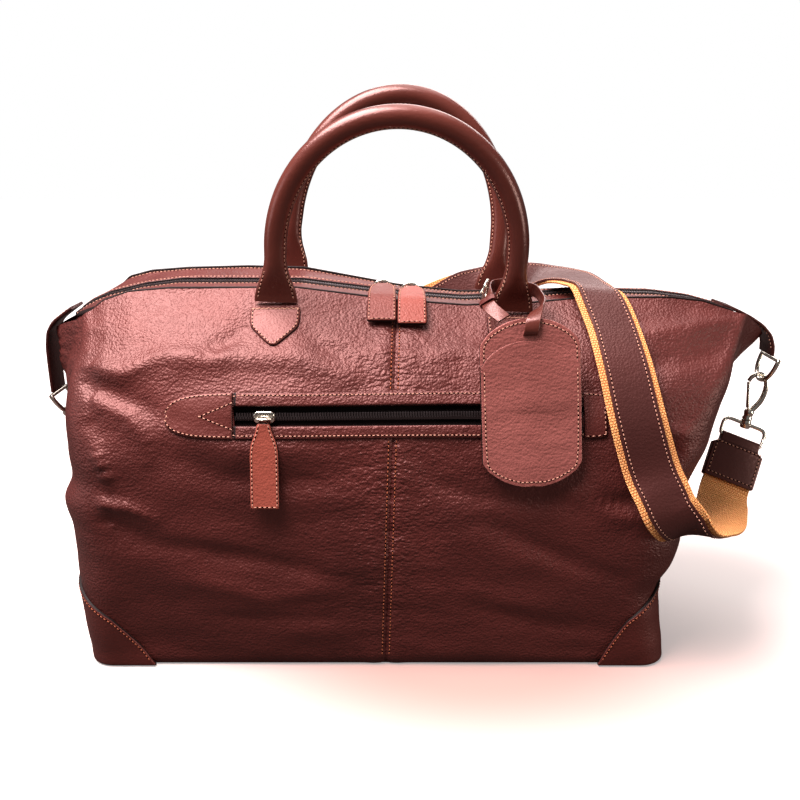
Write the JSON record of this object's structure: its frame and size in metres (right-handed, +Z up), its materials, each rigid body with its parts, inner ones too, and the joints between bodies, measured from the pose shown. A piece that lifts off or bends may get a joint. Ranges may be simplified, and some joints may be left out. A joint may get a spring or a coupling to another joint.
{
  "type": "weekender bag",
  "caption": "Soft leather travel bag with a zipped top, front zip pocket, folding rolled handles, luggage tag, and a clip-on shoulder strap draped over its front.",
  "frame": {"origin": "middle of the base's underside, where the bag stands", "axes": "+X to the right seen from the front, along the bag's length; -Y out of the front with the pocket; +Z up"},
  "size_m": [0.5863, 0.2536, 0.4307],
  "materials": {
    "hide_leather": "waxed full-grain leather",
    "trim_leather": "waxed full-grain leather, lighter",
    "webbing": "woven cotton webbing",
    "nickel": "satin nickel plate",
    "zip_tape": "woven tape",
    "zip_metal": "dark oxidised teeth",
    "lining_cloth": "cotton lining",
    "board": "stiffener board",
    "handle_rope": "twisted rope core"
  },
  "bodies": {
    "bag": {"front_panel_left": "hide_leather", "front_panel_right": "hide_leather", "back_panel_right": "hide_leather", "back_panel_left": "hide_leather", "gusset_right": "hide_leather", "gusset_left": "hide_leather", "base_panel": "hide_leather", "base_board": "board", "lining": "lining_cloth", "corner_patch_front_left": "trim_leather", "corner_patch_front_right": "trim_leather", "corner_patch_back_left": "trim_leather", "corner_patch_back_right": "trim_leather", "zip_band_front": "hide_leather", "zip_band_back": "hide_leather", "zip_tape_front": "zip_tape", "zip_tape_back": "zip_tape", "zip_chain": "zip_metal", "end_tab_left": "hide_leather", "end_tab_right": "hide_leather", "pocket_welt_upper": "trim_leather", "pocket_welt_lower": "trim_leather", "pocket_tab_left": "trim_leather", "pocket_tab_right": "trim_leather", "pocket_zip": "zip_metal", "pocket_pouch": "lining_cloth", "chape_patch_front_left": "hide_leather", "chape_patch_front_right": "hide_leather", "chape_patch_back_left": "hide_leather", "chape_patch_back_right": "hide_leather", "strap_loop_right": "nickel", "strap_loop_left": "nickel", "strap_webbing": "webbing", "strap_leather": "hide_leather", "strap_cap_right": "hide_leather", "strap_cap_left": "hide_leather"},
    "front_handle": {"front_handle_cover": "hide_leather", "front_handle_core": "handle_rope"},
    "back_handle": {"back_handle_cover": "hide_leather", "back_handle_core": "handle_rope"},
    "left_slider": {"main_slider_left": "nickel"},
    "left_pull": {"main_pull_left": "trim_leather"},
    "right_slider": {"main_slider_right": "nickel"},
    "right_pull": {"main_pull_right": "trim_leather"},
    "pocket_slider_body": {"pocket_slider": "nickel"},
    "pocket_pull_body": {"pocket_pull": "trim_leather"},
    "luggage_tag": {"tag_back": "trim_leather", "tag_flap": "trim_leather", "tag_strap": "hide_leather", "tag_buckle": "nickel", "tag_keeper": "hide_leather"},
    "buckle_prong": {"tag_prong": "nickel"},
    "left_ring": {"d_ring_left": "nickel"},
    "right_ring": {"d_ring_right": "nickel"},
    "left_hook": {"hook_left": "nickel"},
    "right_hook": {"hook_right": "nickel"},
    "left_gate": {"gate_left": "nickel"},
    "right_gate": {"gate_right": "nickel"}
  },
  "joints": [
    {"name": "front_handle_fold", "type": "hinge", "parent": "bag", "child": "front_handle", "pos_m": [0.00998, -0.04604, 0.2684], "axis": [0.9987, 0.0249, -0.0444], "range_deg": [-8, 46]},
    {"name": "back_handle_fold", "type": "hinge", "parent": "bag", "child": "back_handle", "pos_m": [0.00701, 0.03322, 0.27654], "axis": [-0.9945, 0.0109, 0.1041], "range_deg": [-5, 45]},
    {"name": "left_slider_run", "type": "slide", "parent": "bag", "child": "left_slider", "axis": [-0.9923, 0, 0.124], "range_m": [0, 0.045]},
    {"name": "left_pull_lift", "type": "hinge", "parent": "left_slider", "child": "left_pull", "pos_m": [0.0007, -0.0046, 0.279], "axis": [-1, 0, 0], "range_deg": [0, 85]},
    {"name": "right_slider_run", "type": "slide", "parent": "bag", "child": "right_slider", "axis": [0.9971, 0, -0.0767], "range_m": [0, 0.034]},
    {"name": "right_pull_lift", "type": "hinge", "parent": "right_slider", "child": "right_pull", "pos_m": [0.0233, -0.0046, 0.27675], "axis": [-1, 0, 0], "range_deg": [0, 85]},
    {"name": "pocket_slider_run", "type": "slide", "parent": "bag", "child": "pocket_slider_body", "axis": [0.9998, 0.02, 0], "range_m": [0, 0.13]},
    {"name": "pocket_pull_lift", "type": "hinge", "parent": "pocket_slider_body", "child": "pocket_pull_body", "pos_m": [-0.082, -0.10605, 0.195], "axis": [-1, 0, 0], "range_deg": [0, 85]},
    {"name": "tag_swing", "type": "hinge", "parent": "bag", "child": "luggage_tag", "pos_m": [0.098, -0.047, 0.284], "axis": [-1, 0, 0], "range_deg": [0, 11]},
    {"name": "prong_lift", "type": "hinge", "parent": "luggage_tag", "child": "buckle_prong", "pos_m": [0.07954, -0.04166, 0.28252], "axis": [-0.0667, 0.2511, -0.9657], "range_deg": [0, 50]},
    {"name": "left_ring_sway", "type": "hinge", "parent": "bag", "child": "left_ring", "pos_m": [-0.2664, 0, 0.1905], "axis": [0, 1, 0], "range_deg": [0, 4]},
    {"name": "right_ring_sway", "type": "hinge", "parent": "bag", "child": "right_ring", "pos_m": [0.3155, 0, 0.2195], "axis": [0, 1, 0], "range_deg": [-2, 4]},
    {"name": "left_hook_swivel", "type": "hinge", "parent": "bag", "child": "left_hook", "pos_m": [-0.25205, 0.0209, 0.14181], "axis": [-0.1197, -0.5484, 0.8276], "range_deg": [-8, 12]},
    {"name": "right_hook_swivel", "type": "hinge", "parent": "bag", "child": "right_hook", "pos_m": [0.30098, -0.00117, 0.16245], "axis": [0.1902, 0.03, 0.9813], "range_deg": [-12, 20]},
    {"name": "left_gate_open", "type": "hinge", "parent": "left_hook", "child": "left_gate", "pos_m": [-0.25611, 0.01338, 0.15316], "axis": [0, 0.8336, 0.5524], "range_deg": [0, 15], "stiffness_Nm_per_rad": 0.01},
    {"name": "right_gate_open", "type": "hinge", "parent": "right_hook", "child": "right_gate", "pos_m": [0.30129, -0.00073, 0.17664], "axis": [0, 0.9995, -0.0306], "range_deg": [0, 15], "stiffness_Nm_per_rad": 0.01}
  ]
}
